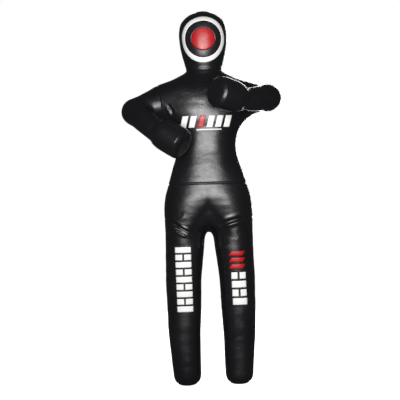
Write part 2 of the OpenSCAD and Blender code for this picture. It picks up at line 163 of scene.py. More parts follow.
def smooth_table(table, t):
    """Cubic curve through the rows of a table, at each t in its first column."""
    x, y = table[:, 0], table[:, 1:]
    slope = np.gradient(y, x, axis=0)
    i = np.clip(np.searchsorted(x, t) - 1, 0, len(x) - 2)
    step = (x[i + 1] - x[i])[:, None]
    s = np.clip((t - x[i])[:, None] / step, 0, 1)
    return (y[i] * (2 * s**3 - 3 * s**2 + 1) + y[i + 1] * (3 * s**2 - 2 * s**3)
            + step * (slope[i] * (s**3 - 2 * s**2 + s) + slope[i + 1] * (s**3 - s**2)))


def smooth_min(a, b, k):
    h = np.maximum(k - np.abs(a - b), 0) / k
    return np.minimum(a, b) - h * h * k / 4


def smooth_max(a, b, k):
    return -smooth_min(-a, -b, k)


def trunk_distance(p):
    size = smooth_table(TRUNK, p[:, 2])
    depth = np.where(p[:, 1] < 0, size[:, 1], size[:, 2])
    half = np.stack([size[:, 0], depth], 1)
    q = np.maximum(np.abs(p[:, :2]) / half, 1e-5)
    r = (q**TRUNK_SQUARENESS).sum(1) ** (1 / TRUNK_SQUARENESS)
    gradient = np.linalg.norm((q / r[:, None]) ** (TRUNK_SQUARENESS - 1) / half, axis=1)
    d = (r - 1) / gradient
    d = smooth_max(d, TRUNK[0, 0] + SEAT_RISE - p[:, 2], SEAT_ROUND)
    return smooth_max(d, p[:, 2] - TRUNK[-1, 0], TRUNK_TOP_ROUND)


def leg_distance(p, side):
    size = smooth_table(LEG, p[:, 2])
    d = np.hypot(p[:, 0] - side * size[:, 0], p[:, 1]) - size[:, 1]
    d = smooth_max(d, -p[:, 2], FOOT_ROUND)
    return smooth_max(d, p[:, 2] - LEG[-1, 0], THIGH_TOP_ROUND)


def head_distance(p):
    radius = smooth_table(HEAD, p[:, 2])[:, 0]
    from_axis = np.hypot(p[:, 0], p[:, 1])
    d = from_axis - radius - HEAD_SWELL
    fall = (from_axis / CROWN_R) ** 2 * CROWN_FALL
    d = smooth_max(d, p[:, 2] - HEIGHT - CROWN_RISE + fall, CROWN_ROUND)
    return smooth_max(d, HEAD[0, 0] - p[:, 2], NECK_END_ROUND)


def limb_distance(p, start, end, radii):
    """Distance from a round limb whose radius follows the even steps of radii."""
    a, axis = np.array(start), np.array(end - start)
    t = np.clip((p - a) @ axis / (axis @ axis), 0, 1)
    table = np.array([[i / (len(radii) - 1), r] for i, r in enumerate(radii)])
    radius = smooth_table(table, t)[:, 0]
    return np.linalg.norm(p - a - t[:, None] * axis, axis=1) - radius


def fist_distance(p, side):
    a = np.array(WRIST[side])
    axis = np.array(FIST_END[side] - WRIST[side])
    length = np.linalg.norm(axis)
    axis = axis / length
    s = (p - a) @ axis
    radius = smooth_table(FIST, s / length)[:, 0]
    d = np.linalg.norm(p - a - s[:, None] * axis, axis=1) - radius
    d = smooth_max(d, s - length - FIST_BULGE, FIST_RIM_ROUND)
    return smooth_max(d, -s - FIST_ROOT, FIST_ROOT_ROUND)


def figure_distance(p):
    """Roughly how far each point lies outside the stuffed figure."""
    legs = np.minimum(leg_distance(p, RIGHT), leg_distance(p, LEFT))
    body = smooth_min(trunk_distance(p), legs, LEG_TO_TRUNK)
    body = smooth_min(body, head_distance(p), HEAD_TO_TRUNK)
    for side in SIDES:
        upper = limb_distance(p, SHOULDER[side], ELBOW[side], ARM_RADII[side])
        body = smooth_min(body, upper, ARM_TO_TRUNK)
    for side in SIDES:
        fore = limb_distance(p, ELBOW[side], WRIST[side], FOREARM_RADII)
        body = smooth_min(body, fore, FOREARM_TO_ARM)
        body = smooth_min(body, fist_distance(p, side), FIST_TO_FOREARM)
    return body + INSET


def surface_mesh(distance, low, high, step):
    """Quads round the surface of a distance function: one point for each cell it crosses."""
    n = np.ceil((np.array(high) - low) / step).astype(int) + 1
    x, y, z = (low[i] + step * np.arange(n[i]) for i in range(3))
    field = np.empty(n)
    for layers in np.array_split(np.arange(n[2]), 24):
        grid = np.stack(np.meshgrid(x, y, z[layers], indexing="ij"), -1)
        field[:, :, layers] = distance(grid.reshape(-1, 3)).reshape(grid.shape[:3])
    inside = field < 0
    corners = [inside[i:n[0] - 1 + i, j:n[1] - 1 + j, k:n[2] - 1 + k]
               for i in (0, 1) for j in (0, 1) for k in (0, 1)]
    count = sum(c.astype(np.int8) for c in corners)
    crossed = (count > 0) & (count < 8)
    index = np.full(crossed.shape, -1)
    index[crossed] = np.arange(crossed.sum())
    points = np.array(low) + step * (np.argwhere(crossed) + 0.5)
    # each grid edge that the surface crosses gives one quad, round its four cells
    quads = []
    for axis in range(3):
        u, v = (axis + 1) % 3, (axis + 2) % 3
        where = np.argwhere(inside != np.roll(inside, -1, axis))
        ok = (where[:, axis] < n[axis] - 1) & (where[:, u] > 0) & (where[:, v] > 0)
        ok &= (where[:, u] < n[u] - 1) & (where[:, v] < n[v] - 1)
        where = where[ok]
        ring = []
        for du, dv in ((-1, -1), (0, -1), (0, 0), (-1, 0)):
            cell = where.copy()
            cell[:, u] += du
            cell[:, v] += dv
            ring.append(index[tuple(cell.T)])
        ring = np.stack(ring, 1)
        outward = inside[tuple(where.T)]
        ring[~outward] = ring[~outward][:, ::-1]
        quads.append(ring)
    return points, np.concatenate(quads)


def gradient_at(distance, p):
    e = 0.0005
    g = np.empty_like(p)
    for i in range(3):
        shift = np.zeros(3)
        shift[i] = e
        g[:, i] = (distance(p + shift) - distance(p - shift)) / (2 * e)
    return g


def drawn_to_surface(distance, p, passes):
    """Points moved along the gradient until their distance is nought."""
    least = 0.2  # where two shapes meet the gradient may vanish
    for _ in range(passes):
        g = gradient_at(distance, p)
        p = p - distance(p)[:, None] * g / np.maximum((g * g).sum(1), least)[:, None]
    return p


def linked_object(name, data):
    obj = bpy.data.objects.new(name, data)
    bpy.context.scene.collection.objects.link(obj)
    return obj


def mesh_object(name, verts, faces):
    mesh = bpy.data.meshes.new(name)
    mesh.from_pydata(verts, [], faces)
    mesh.shade_smooth()
    return linked_object(name, mesh)


def points_of(obj):
    co = np.empty(len(obj.data.vertices) * 3)
    obj.data.vertices.foreach_get("co", co)
    return co.reshape(-1, 3)


def set_points(obj, co):
    obj.data.vertices.foreach_set("co", np.ascontiguousarray(co, float).ravel())
    obj.data.update()


def make_skin():
    low = (-0.37, -0.33, -0.03)
    high = (0.34, 0.14, HEIGHT + 0.03)
    points, quads = surface_mesh(figure_distance, low, high, VOXEL)
    skin = mesh_object("skin", [tuple(p) for p in points], [tuple(q) for q in quads])
    # relaxing between the pulls spreads the points evenly over the surface
    for relax in (2, 2, 1):
        set_points(skin, drawn_to_surface(figure_distance, points_of(skin), 2))
        relax_mesh(skin, relax)
    set_points(skin, drawn_to_surface(figure_distance, points_of(skin), 3))
    return skin


def relax_mesh(obj, rounds):
    """Moves each point halfway to the middle of its neighbours, again and again."""
    mesh = obj.data
    edges = np.empty(len(mesh.edges) * 2, int)
    mesh.edges.foreach_get("vertices", edges)
    a, b = edges.reshape(-1, 2).T
    co = points_of(obj)
    degree = np.bincount(a, minlength=len(co)) + np.bincount(b, minlength=len(co))
    for _ in range(rounds):
        total = np.zeros_like(co)
        np.add.at(total, a, co[b])
        np.add.at(total, b, co[a])
        co = co + 0.5 * (total / degree[:, None] - co)
    set_points(obj, co)


# --- Swelling ---

def beside_zip(points, width, beyond):
    """True on the back this near to the zip's line and ends."""
    x, y, z = points.T
    return (y > 0) & (abs(x) < width) & (z > ZIP_LOW - beyond) & (z < ZIP_HIGH + beyond)


HELD_BY_ZIP = (0.035, 0.03)
HELD_SOLE = 0.012
PRESSURE = 12.0
STIFFNESS = 5
FRAMES = 20
MOST_SWELL = 0.004


def inflate(obj):
    """Cloth simulation with air pressure inside, held still at the soles and the zip."""
    start = points_of(obj)
    held = beside_zip(start, *HELD_BY_ZIP) | (start[:, 2] < HELD_SOLE)
    group = obj.vertex_groups.new(name="pin")
    group.add(np.flatnonzero(held).tolist(), 1.0, "REPLACE")
    cloth = obj.modifiers.new("cloth", "CLOTH")
    settings = cloth.settings
    settings.quality = 4
    settings.mass = 0.4
    settings.tension_stiffness = STIFFNESS
    settings.compression_stiffness = STIFFNESS
    settings.shear_stiffness = STIFFNESS / 3
    settings.use_pressure = True
    settings.uniform_pressure_force = PRESSURE
    settings.vertex_group_mass = group.name
    settings.effector_weights.gravity = 0
    cloth.collision_settings.use_collision = False
    cloth.point_cache.frame_start = 1
    cloth.point_cache.frame_end = FRAMES
    scene = bpy.context.scene
    for frame_number in range(1, FRAMES + 1):
        scene.frame_set(frame_number)
    swollen = obj.evaluated_get(bpy.context.evaluated_depsgraph_get())
    moved = points_of(swollen) - start
    obj.modifiers.remove(cloth)
    obj.vertex_groups.clear()
    scene.frame_set(1)
    length = np.linalg.norm(moved, axis=1)
    moved *= (np.minimum(length, MOST_SWELL) / np.maximum(length, 1e-9))[:, None]
    set_points(obj, start + moved)


def subdivide(obj):
    sub = obj.modifiers.new("sub", "SUBSURF")
    sub.levels = 1
    mesh = bpy.data.meshes.new_from_object(
        obj.evaluated_get(bpy.context.evaluated_depsgraph_get()))
    obj.modifiers.remove(sub)
    obj.data = mesh


# --- Cutting the skin into panels ---

SNAP = 0.0009  # points this near to a cut are moved onto it
CUT_BAND = 0.01  # only faces this near to a plane are offered to the cut
PLAIN, SEAM, WAIST_SEAM, HIP_SEAM, PIPING = range(5)
# depth and half width of each kind of seam
SEAM_SHAPES = {SEAM: (0.0024, 0.0036), WAIST_SEAM: (0.0026, 0.0030),
               HIP_SEAM: (0.0012, 0.0036), PIPING: (-0.0016, 0.0030)}


class Cutter:
    """Cuts the skin along planes, then hands out the panels that the cuts enclose."""

    def __init__(self, obj):
        self.bm = bmesh.new()
        self.bm.from_mesh(obj.data)
        self.seam = self.bm.edges.layers.int.new("seam")
        self.wall = self.bm.edges.layers.int.new("wall")

    def cut(self, origin, normal, where, seam=SEAM, wall=True):
        """Cuts the faces for which where(centre) holds. A wall parts two panels."""
        origin, normal = Vector(origin), Vector(normal).normalized()

        def off(v):
            return (v.co - origin).dot(normal)

        faces = [f for f in self.bm.faces
                 if abs((f.calc_center_median() - origin).dot(normal)) < CUT_BAND
                 and where(f.calc_center_median())]
        for v in {v for f in faces for v in f.verts}:
            if abs(off(v)) < SNAP:
                v.co -= off(v) * normal
        edges = {e for f in faces for e in f.edges}
        verts = {v for f in faces for v in f.verts}
        made = bmesh.ops.bisect_plane(
            self.bm, geom=list(verts) + list(edges) + faces, dist=1e-6,
            plane_co=origin, plane_no=normal)
        around = {e for g in made["geom_cut"] if isinstance(g, bmesh.types.BMVert)
                  for e in g.link_edges} | {e for e in edges if e.is_valid}
        for e in around:
            if all(abs(off(v)) < 2e-6 for v in e.verts):
                e[self.seam] = max(e[self.seam], seam)
                e[self.wall] = max(e[self.wall], int(wall))

    def seam_points(self, style):
        """Points along every edge sewn in one style."""
        lines = [e for e in self.bm.edges if e[self.seam] == style]
        return [e.verts[0].co.lerp(e.verts[1].co, t) for e in lines for t in (0, 0.5, 1)]

    def panels(self, seeds):
        """{name: faces}: the faces joined to the one nearest to each seed, up to the walls."""
        owner = {}
        for name, seed in seeds.items():
            seed = Vector(seed)
            ahead = [min(self.bm.faces,
                         key=lambda f: (f.calc_center_median() - seed).length_squared)]
            owner[ahead[0]] = name
            while ahead:
                for e in ahead.pop().edges:
                    if not e[self.wall]:
                        new = [f for f in e.link_faces if f not in owner]
                        owner.update(dict.fromkeys(new, name))
                        ahead.extend(new)
        # slivers between two cuts join the panel beside them
        left = [f for f in self.bm.faces if f not in owner]
        while left:
            for f in left:
                beside = [owner[g] for e in f.edges for g in e.link_faces if g in owner]
                if beside:
                    owner[f] = beside[0]
            left = [f for f in left if f not in owner]
        found = {name: [] for name in seeds}
        for f, name in owner.items():
            found[name].append(f)
        return found


def arm_axes(side):
    """Directions of the upper arm, the forearm and the fist."""
    return [(end - start).normalized() for start, end in
            ((SHOULDER[side], ELBOW[side]), (ELBOW[side], WRIST[side]),
             (WRIST[side], FIST_END[side]))]


def across_elbow(side):
    """Direction halfway between the upper arm and the forearm."""
    into, out, _ = arm_axes(side)
    return (into + out).normalized()


HIP_SLOPE = math.radians(20)
HIP_DROP = 0.004  # the hip's seam starts this far below the crotch
LEG_CUT_Z = 0.442  # where the thigh's cover meets the shin's
SOLE_Z = 0.010
INSEAM_TOP = 0.70
INSEAM_X = 0.10  # the inseam stays this near to the figure's middle
SIDE_SEAM_X = 0.20  # and the side seam this near
SIDE_SEAM_DROP = 0.03  # how far below the crotch it goes on
BACK = 0.05  # only the back lies behind this
ZIP_SLOT = 0.008  # half width of the opening for the zip
INNER_ELBOW = 0.049  # radius of the arm at the inside of the elbow
CUFF = 0.045  # the forearm's cover ends this far before the wrist
FIST_EDGE = 0.0085  # the fist's piping lies this far before its end
# how far from its middle each cut across the arm reaches
ARMHOLE_REACH = 0.105
ELBOW_REACH = 0.098
CUFF_REACH = 0.066
WRIST_REACH = 0.072
FIST_REACH = 0.085
ARM_REACH = 0.125
# direction out of the trunk, and how far past the shoulder the armhole lies
ARMHOLE = {RIGHT: (Vector((-1, -0.12, -0.1)).normalized(), 0.014),
           LEFT: (Vector((0.85, -0.53, 0)).normalized(), 0.020)}


def hip_normal(side):
    return Vector((side * math.sin(HIP_SLOPE), 0, -math.cos(HIP_SLOPE)))


def inner_corner(side):
    """Where the upper arm's skin meets the forearm's inside the elbow."""
    into, out, _ = arm_axes(side)
    inward = (out - into).normalized()
    half = math.acos(max(-1, min(1, -into.dot(out)))) / 2
    return ELBOW[side] + inward * INNER_ELBOW / math.sin(half)


def elbow_cut(side):
    """Origin and normal of the cut between the upper arm's panel and the elbow's."""
    across = across_elbow(side)
    return inner_corner(side) - 0.003 * across, (arm_axes(side)[0] + across).normalized()


def forearm_cut(side):
    """Middle of the cut between the forearm's cover and the fist's."""
    length = (WRIST[side] - ELBOW[side]).length
    return ELBOW[side] + arm_axes(side)[1] * (length - CUFF)


def anywhere(c):
    return True


def near(point, reach):
    return lambda c: (c - Vector(point)).length < reach


def in_arm(c):
    for side in SIDES:
        normal, reach = ARMHOLE[side]
        from_shoulder = c - SHOULDER[side]
        if from_shoulder.dot(normal) > reach and from_shoulder.length < ARM_REACH:
            return True
    return False


def cut_panels(cutter, crotch_z):
    """Makes every cut. A PLAIN one gets no groove, and one without a wall parts no panels."""
    up, across, back = (0, 0, 1), (1, 0, 0), (0, 1, 0)
    cutter.cut((0, 0, NECK_Z), up, anywhere)
    cutter.cut((0, 0, WAIST_Z), up, anywhere, WAIST_SEAM)
    cutter.cut((0, 0, 0), across, lambda c: crotch_z - 0.1 < c.z < WAIST_Z, PLAIN, False)
    for side in SIDES:
        _, out, hand = arm_axes(side)

        def on_side(c):
            return c.x * side > 0

        cutter.cut((0, 0, crotch_z - HIP_DROP), hip_normal(side), on_side, HIP_SEAM)
        cutter.cut((0, 0, LEG_CUT_Z), up, on_side, PLAIN)
        cutter.cut((0, 0, SOLE_Z), up, on_side)
        cutter.cut((0, 0, 0), back,
                   lambda c: SOLE_Z < c.z < INSEAM_TOP and 0 < c.x * side < INSEAM_X,
                   SEAM, False)
        normal, reach = ARMHOLE[side]
        cutter.cut(SHOULDER[side] + reach * normal, normal, near(SHOULDER[side], ARMHOLE_REACH))
        origin, normal = elbow_cut(side)
        cutter.cut(origin, normal, near(ELBOW[side], ELBOW_REACH), PLAIN)
        middle = forearm_cut(side)
        cutter.cut(middle, out, near(middle, CUFF_REACH), PLAIN)
        cutter.cut(WRIST[side], out + hand, near(WRIST[side], WRIST_REACH), SEAM, False)
        cutter.cut(FIST_END[side] - FIST_EDGE * hand, hand, near(FIST_END[side], FIST_REACH),
                   PIPING)
    # the head's and the trunk's side seams, and the seam up the middle of the back
    cutter.cut((0, 0, 0), back,
               lambda c: c.z > NECK_Z or (abs(c.x) < SIDE_SEAM_X and not in_arm(c)
                                          and c.z > crotch_z - SIDE_SEAM_DROP))
    cutter.cut((0, 0, 0), across, lambda c: c.y > 0.02 and WAIST_Z < c.z < NECK_Z)
    # the opening for the zip
    for x in (-ZIP_SLOT, ZIP_SLOT):
        cutter.cut((x, 0, 0), across,
                   lambda c: c.y > BACK and ZIP_LOW - 0.002 < c.z < ZIP_HIGH + 0.002, PLAIN)
    for z in (ZIP_LOW, ZIP_HIGH):
        cutter.cut((0, 0, z), up, lambda c: c.y > BACK and abs(c.x) < ZIP_SLOT + 0.001, PLAIN)


# --- Seams and creases ---

def line_distance(points, lines):
    """Distance from each point to the nearest of many points along the seams."""
    tree = KDTree(len(lines))
    for i, p in enumerate(lines):
        tree.insert(p, i)
    tree.balance()
    return np.array([tree.find(p)[2] for p in points])


# Folds pressed into the front: x and z of points along each, depth, half width,
# and how far the cloth stands up just below it
FOLDS = [
    ([(-0.150, 0.668), (-0.126, 0.651), (-0.098, 0.634), (-0.074, 0.622)],
     0.0055, 0.0055, 0.0040),
    ([(-0.136, 0.640), (-0.112, 0.628), (-0.086, 0.616)], 0.0045, 0.0045, 0.0035),
    ([(-0.074, 0.622), (-0.040, 0.620), (-0.008, 0.622)], 0.0014, 0.0045, 0.0004),
    ([(0.044, 0.652), (0.085, 0.666), (0.122, 0.676), (0.156, 0.677)],
     0.0048, 0.0065, 0.0050),
    ([(-0.100, 0.705), (-0.120, 0.690), (-0.142, 0.682)], 0.0018, 0.0070, 0.0010),
    ([(-0.150, 1.140), (-0.136, 1.118), (-0.128, 1.096)], 0.0034, 0.0050, 0.0024),
    ([(0.140, 1.108), (0.152, 1.094), (0.168, 1.086)], 0.0030, 0.0050, 0.0020),
]
FOLD_REACH = 0.05  # a fold moves nothing further from it than this
FOLD_ENDS = 0.22  # share of a fold's length over which each end fades
FOLD_TIP = 0.15  # share of the fold that is left at its tips
FOLD_STEP = 0.002  # spacing of the points that stand for a fold's line
# the lip's distance from the fold and its half width, in half widths of the fold
LIP_AT, LIP_WIDTH = 2.3, 1.1
UPPER_LIP = 0.35  # height of the lip above the fold, as a share of the one below


def along_line(points, line):
    """Distance in x and z to a drawn line, whether below it, and the share along it."""
    line = np.array(line)
    parts = []
    for a, b in zip(line[:-1], line[1:]):
        n = max(int(np.linalg.norm(b - a) / FOLD_STEP), 1)
        parts.append(a + (b - a) * np.linspace(0, 1, n, endpoint=False)[:, None])
    dense = np.concatenate(parts + [line[-1:]])
    gap = points[:, None, :] - dense[None]
    nearest = (gap**2).sum(2).argmin(1)
    off = gap[np.arange(len(points)), nearest]
    return np.linalg.norm(off, axis=1), off[:, 1] < 0, nearest / (len(dense) - 1)


def fold_offsets(points):
    """Each fold is a dent along its line with a lip below it and a lower one above."""
    move = np.zeros(len(points))
    for line, depth, width, lip in FOLDS:
        low = np.min(line, axis=0) - FOLD_REACH
        high = np.max(line, axis=0) + FOLD_REACH
        xz = points[:, [0, 2]]
        here = np.flatnonzero((points[:, 1] < 0) & (xz > low).all(1) & (xz < high).all(1))
        d, below, t = along_line(xz[here], line)
        fade = np.clip(np.minimum(t, 1 - t) / FOLD_ENDS, 0, 1)
        fade = np.where(d > 0.02, fade, np.maximum(fade, FOLD_TIP))
        dent = depth * np.exp(-(d / width) ** 2)
        rise = lip * np.exp(-((d - LIP_AT * width) / (LIP_WIDTH * width)) ** 2)
        rise = rise * np.where(below, 1, UPPER_LIP)
        move[here] += fade * (rise - dent)
    return move


# Slack ripples, lumps of stuffing and fine unevenness: height, frequency along
# x, y and z, and shift of each pattern
RIPPLES = [
    (0.0008, (9, 9, 34), (0, 4.1, 0)),
    (0.0012, (13, 13, 11), (7.3, 0, 0)),
    (0.0002, (30, 30, 75), (0, 0, 2.7)),
]


def wrinkle_offsets(points):
    move = np.empty(len(points))
    for i, p in enumerate(points):
        move[i] = sum(height * noise.noise([p[k] * often[k] + shift[k] for k in range(3)])
                      for height, often, shift in RIPPLES)
    return move


VALLEY_TOP = 0.738
VALLEY_SLOPE = 1.35
VALLEY_DEPTH = 0.010
VALLEY_HALF_WIDTH = 0.085
VALLEY_EDGE = 0.011  # how softly its upper edge sets in
VALLEY_FOOT = (0.56, 0.06)  # where it ends down the legs, and over which height


def belly_valley(points):
    """The hollow shaped like a tent above the crotch, where the two legs are sewn on."""
    x, y, z = points.T
    edge = VALLEY_TOP - VALLEY_SLOPE * abs(x)
    inside = 1 / (1 + np.exp(-(edge - z) / VALLEY_EDGE))
    foot, height = VALLEY_FOOT
    fade = np.clip((z - foot) / height, 0, 1) * np.clip(-y / 0.03, 0, 1)
    return -VALLEY_DEPTH * inside * fade * np.exp(-(x / VALLEY_HALF_WIDTH) ** 4)


CALM_REACH = 0.012  # ripples fade out this near to a seam
FLAT_BY_ZIP = (0.022, 0.01)


def shape_seams(cutter):
    """Moves the cut skin along its normals: seams in, piping out, folds and ripples."""
    cutter.bm.normal_update()
    verts = list(cutter.bm.verts)
    points = np.array([v.co for v in verts])
    normals = np.array([v.normal for v in verts])
    move = np.zeros(len(points))
    calm = np.ones(len(points))
    for style, (depth, width) in SEAM_SHAPES.items():
        d = line_distance(points, cutter.seam_points(style))
        move -= depth * np.exp(-(d / width) ** 2)
        calm = np.minimum(calm, np.clip(d / CALM_REACH, 0, 1))
    flat = (points[:, 2] < SOLE_Z * 0.8) | beside_zip(points, *FLAT_BY_ZIP)
    extra = fold_offsets(points) + belly_valley(points) + calm * wrinkle_offsets(points)
    move = np.where(flat, 0, move + extra)
    moved = points + move[:, None] * normals
    for v, p in zip(verts, moved):
        v.co = p
    cutter.bm.normal_update()


# --- Pieces ---

def add_rest(obj, rest):
    """Keeps the rest shape on the mesh, so that textures don't slide when it bends."""
    layer = obj.data.attributes.new("rest", "FLOAT_VECTOR", "POINT")
    layer.data.foreach_set("vector", np.asarray(rest, dtype=np.float32).ravel())


def verts_and_faces(faces):
    """The vertices of some faces, and the faces as lists of places among them."""
    verts = list({v: None for f in faces for v in f.verts})
    index = {v: i for i, v in enumerate(verts)}
    return verts, [[index[v] for v in f.verts] for f in faces]


def piece_from_faces(name, faces):
    """A panel of its own that keeps the whole skin's normals, so that no edge shows."""
    verts, rings = verts_and_faces(faces)
    obj = mesh_object(name, [v.co for v in verts], rings)
    obj.data.normals_split_custom_set_from_vertices([v.normal for v in verts])
    add_rest(obj, [v.co for v in verts])
    return obj


SLOT_DEPTH = 0.0042
SLOT_UNDERCUT = 1.15  # the turned-in edge lies this much further from the middle


def fold_slot_edges(cutter, faces):
    """Turns the cut edges of the zip's opening inward and takes out the faces in it."""
    gone = set(faces)
    rim = {v for f in faces for v in f.verts
           if any(g not in gone for g in v.link_faces)}
    bmesh.ops.delete(cutter.bm, geom=list(gone), context="FACES")
    edges = [e for e in cutter.bm.edges if e.is_boundary and e.verts[0] in rim
             and e.verts[1] in rim]
    made = bmesh.ops.extrude_edge_only(cutter.bm, edges=edges)
    for v in made["geom"]:
        if isinstance(v, bmesh.types.BMVert):
            v.co.y -= SLOT_DEPTH
            v.co.x *= SLOT_UNDERCUT
    return [f for f in made["geom"] if isinstance(f, bmesh.types.BMFace)]


# --- Leather, print and zip ---

def node(tree, kind, **values):
    """A shader node with its inputs set by name."""
    n = tree.nodes.new(kind)
    for key, value in values.items():
        if key in n.inputs:
            n.inputs[key].default_value = value
        else:
            setattr(n, key, value)
    return n


def new_material(name, color, roughness):
    mat = bpy.data.materials.new(name)
    mat.use_nodes = True
    tree = mat.node_tree
    shader = tree.nodes["Principled BSDF"]
    shader.inputs["Base Color"].default_value = (*color, 1)
    shader.inputs["Roughness"].default_value = roughness
    return mat, tree, shader


def rest_coords(tree):
    return node(tree, "ShaderNodeAttribute", attribute_name="rest").outputs["Vector"]


def noise_at(tree, coords, scale, detail=3.0, stretch=None):
    if stretch:
        mapping = node(tree, "ShaderNodeMapping")
        mapping.inputs["Scale"].default_value = stretch
        tree.links.new(coords, mapping.inputs["Vector"])
        coords = mapping.outputs["Vector"]
    n = node(tree, "ShaderNodeTexNoise", Scale=scale, Detail=detail)
    tree.links.new(coords, n.inputs["Vector"])
    return n.outputs["Fac"]


def wave_at(tree, coords, direction, scale, distortion):
    n = node(tree, "ShaderNodeTexWave", Scale=scale, Distortion=distortion,
             bands_direction=direction)
    tree.links.new(coords, n.inputs["Vector"])
    return n.outputs["Fac"]


def combine(tree, operation, a, b):
    n = node(tree, "ShaderNodeMath", operation=operation)
    tree.links.new(a, n.inputs[0])
    tree.links.new(b, n.inputs[1])
    return n.outputs[0]


def ramp(tree, source, low, high, out_low, out_high):
    n = node(tree, "ShaderNodeMapRange")
    for key, value in {"From Min": low, "From Max": high,
                       "To Min": out_low, "To Max": out_high}.items():
        n.inputs[key].default_value = value
    tree.links.new(source, n.inputs["Value"])
    return n.outputs["Result"]


def mix_color(tree, factor, a, b):
    n = node(tree, "ShaderNodeMix", data_type="RGBA")
    n.inputs[6].default_value = (*a, 1)
    n.inputs[7].default_value = (*b, 1)
    tree.links.new(factor, n.inputs[0])
    return n.outputs[2]


def bumps(tree, shader, heights):
    """Chains bump nodes: (height, strength, distance in metres) each."""
    normal = None
    for height, strength, distance in heights:
        n = node(tree, "ShaderNodeBump", Strength=strength, Distance=distance)
        tree.links.new(height, n.inputs["Height"])
        if normal:
            tree.links.new(normal, n.inputs["Normal"])
        normal = n.outputs["Normal"]
    tree.links.new(normal, shader.inputs["Normal"])


def pebbles(tree, coords, scale):
    """Raised cells of embossed leather grain, 0 in the valleys."""
    n = node(tree, "ShaderNodeTexVoronoi", Scale=scale, feature="DISTANCE_TO_EDGE")
    tree.links.new(coords, n.inputs["Vector"])
    return ramp(tree, n.outputs["Distance"], 0.0, 0.25, 0.0, 1.0)


FINE_GRAIN = 520
SOLE_GRAIN = 300
LEATHER_DARK = (0.0035, 0.0035, 0.0045)
LEATHER_LIGHT = (0.008, 0.008, 0.0095)


def leather_material(name, rough, grain):
    """Coated synthetic leather: fine pebble grain, slack ripples, worn patches."""
    mat, tree, shader = new_material(name, LEATHER_DARK, sum(rough) / 2)
    coords = rest_coords(tree)
    wear = noise_at(tree, coords, 7.0, 5.0)
    rub = noise_at(tree, coords, 60.0, 4.0)
    tree.links.new(mix_color(tree, wear, LEATHER_DARK, LEATHER_LIGHT),
                   shader.inputs["Base Color"])
    rough_patches = combine(tree, "ADD", ramp(tree, wear, 0.3, 0.7, rough[0], rough[1]),
                            ramp(tree, rub, 0.3, 0.7, -0.03, 0.04))
    tree.links.new(rough_patches, shader.inputs["Roughness"])
    shader.inputs["Specular IOR Level"].default_value = 0.5
    bumps(tree, shader, [
        (noise_at(tree, coords, 26.0, 3.0, (1.0, 1.0, 2.2)), 0.22, 0.0028),
        (noise_at(tree, coords, 160.0, 4.0), 0.18, 0.0004),
        (pebbles(tree, coords, grain), 0.35, 0.00012),
    ])
    return mat


def print_material(name, color, aged):
    """Screen-printed ink on the leather: slightly worn, with the grain showing through."""
    mat, tree, shader = new_material(name, color, 0.5)
    coords = rest_coords(tree)
    specks = ramp(tree, noise_at(tree, coords, 240.0, 5.0), 0.60, 0.72, 0.0, 0.65)
    tree.links.new(mix_color(tree, specks, color, aged), shader.inputs["Base Color"])
    tree.links.new(ramp(tree, noise_at(tree, coords, 45.0), 0.3, 0.7, 0.30, 0.42),
                   shader.inputs["Roughness"])
    bumps(tree, shader, [
        (noise_at(tree, coords, 160.0, 4.0), 0.12, 0.0004),
        (pebbles(tree, coords, FINE_GRAIN), 0.25, 0.0001),
    ])
    return mat


def tape_material():
    """Woven zip tape: two crossed wave textures at thread scale."""
    mat, tree, shader = new_material("woven_zip_tape", (0.012, 0.012, 0.013), 0.85)
    coords = node(tree, "ShaderNodeTexCoord").outputs["Object"]
    threads = combine(tree, "MULTIPLY", wave_at(tree, coords, "X", 420.0, 0.6),
                      wave_at(tree, coords, "Z", 420.0, 0.6))
    tree.links.new(mix_color(tree, threads, (0.006, 0.006, 0.007), (0.03, 0.03, 0.032)),
                   shader.inputs["Base Color"])
    bumps(tree, shader, [(threads, 0.6, 0.0003)])
    return mat


def metal_material():
    """Nickel-plated zip parts with fine scratches and dull patches."""
    mat, tree, shader = new_material("nickel", (0.62, 0.61, 0.59), 0.3)
    shader.inputs["Metallic"].default_value = 1.0
    coords = node(tree, "ShaderNodeTexCoord").outputs["Object"]
    dull = noise_at(tree, coords, 180.0, 5.0)
    tree.links.new(mix_color(tree, dull, (0.70, 0.69, 0.67), (0.42, 0.41, 0.40)),
                   shader.inputs["Base Color"])
    tree.links.new(ramp(tree, dull, 0.3, 0.7, 0.22, 0.46), shader.inputs["Roughness"])
    bumps(tree, shader, [(noise_at(tree, coords, 900.0, 2.0, (1.0, 1.0, 0.15)), 0.15, 0.0001)])
    return mat


def floor_material():
    """Glows, so that it is as white as the photograph's background."""
    mat, _, shader = new_material("pale_floor", (0.86, 0.86, 0.86), 0.9)
    shader.inputs["Emission Color"].default_value = (1, 1, 1, 1)
    shader.inputs["Emission Strength"].default_value = 1.0
    return mat


# --- Printed patches ---

FILM = 0.0004  # height of the ink above the leather
FILM_EDGE = 0.0010  # depth to which its edge is turned in
FILM_STEP = 0.004
TARGET_Z = 1.396
TARGET_WIDE = 1.03  # the target is a little wider and lower than its radii
TARGET_HIGH = 0.94


class Surface:
    """Part of the finished skin, for laying printed patches on it."""

    def __init__(self, faces):
        verts, rings = verts_and_faces(faces)
        self.tree = BVHTree.FromPolygons([v.co for v in verts], rings)

    def hit(self, start, way, lift):
        place, normal = self.tree.ray_cast(start, way)[:2]
        return place + lift * normal

    def front(self, x, z, lift):
        return self.hit(Vector((x, -0.6, z)), Vector((0, 1, 0)), lift)

    def back(self, x, z, lift):
        return self.hit(Vector((x, 0.6, z)), Vector((0, -1, 0)), lift)

    def round_head(self, angle, z, lift):
        way = Vector((math.sin(angle), -math.cos(angle), 0))
        return self.hit(way * 0.3 + Vector((0, 0, z)), -way, lift)


